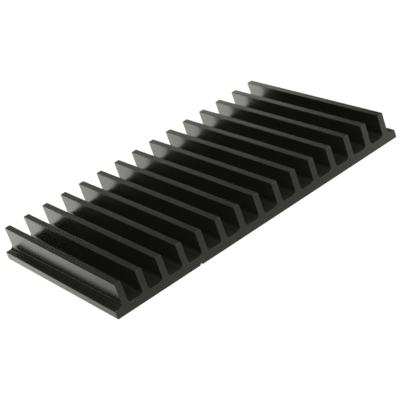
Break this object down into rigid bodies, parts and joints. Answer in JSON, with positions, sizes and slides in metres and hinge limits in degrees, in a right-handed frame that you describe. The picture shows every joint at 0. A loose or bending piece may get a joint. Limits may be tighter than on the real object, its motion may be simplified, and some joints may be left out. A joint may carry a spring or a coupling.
{
  "type": "extruded heat sink",
  "caption": "Flat rectangular base plate with a comb of straight parallel cooling fins and a narrow ledge along each side.",
  "frame": {"origin": "middle of the flat underside", "axes": "+X across the fins, +Y along the extrusion away from the sawn end that has the nick, +Z from the underside to the fin tips"},
  "size_m": [0.16, 0.1, 0.015],
  "materials": {
    "black_anodised": "black anodised, satin, with fine die lines along the bar and sawn ends"
  },
  "bodies": {
    "root": {"heat_sink": "black_anodised"}
  },
  "joints": []
}
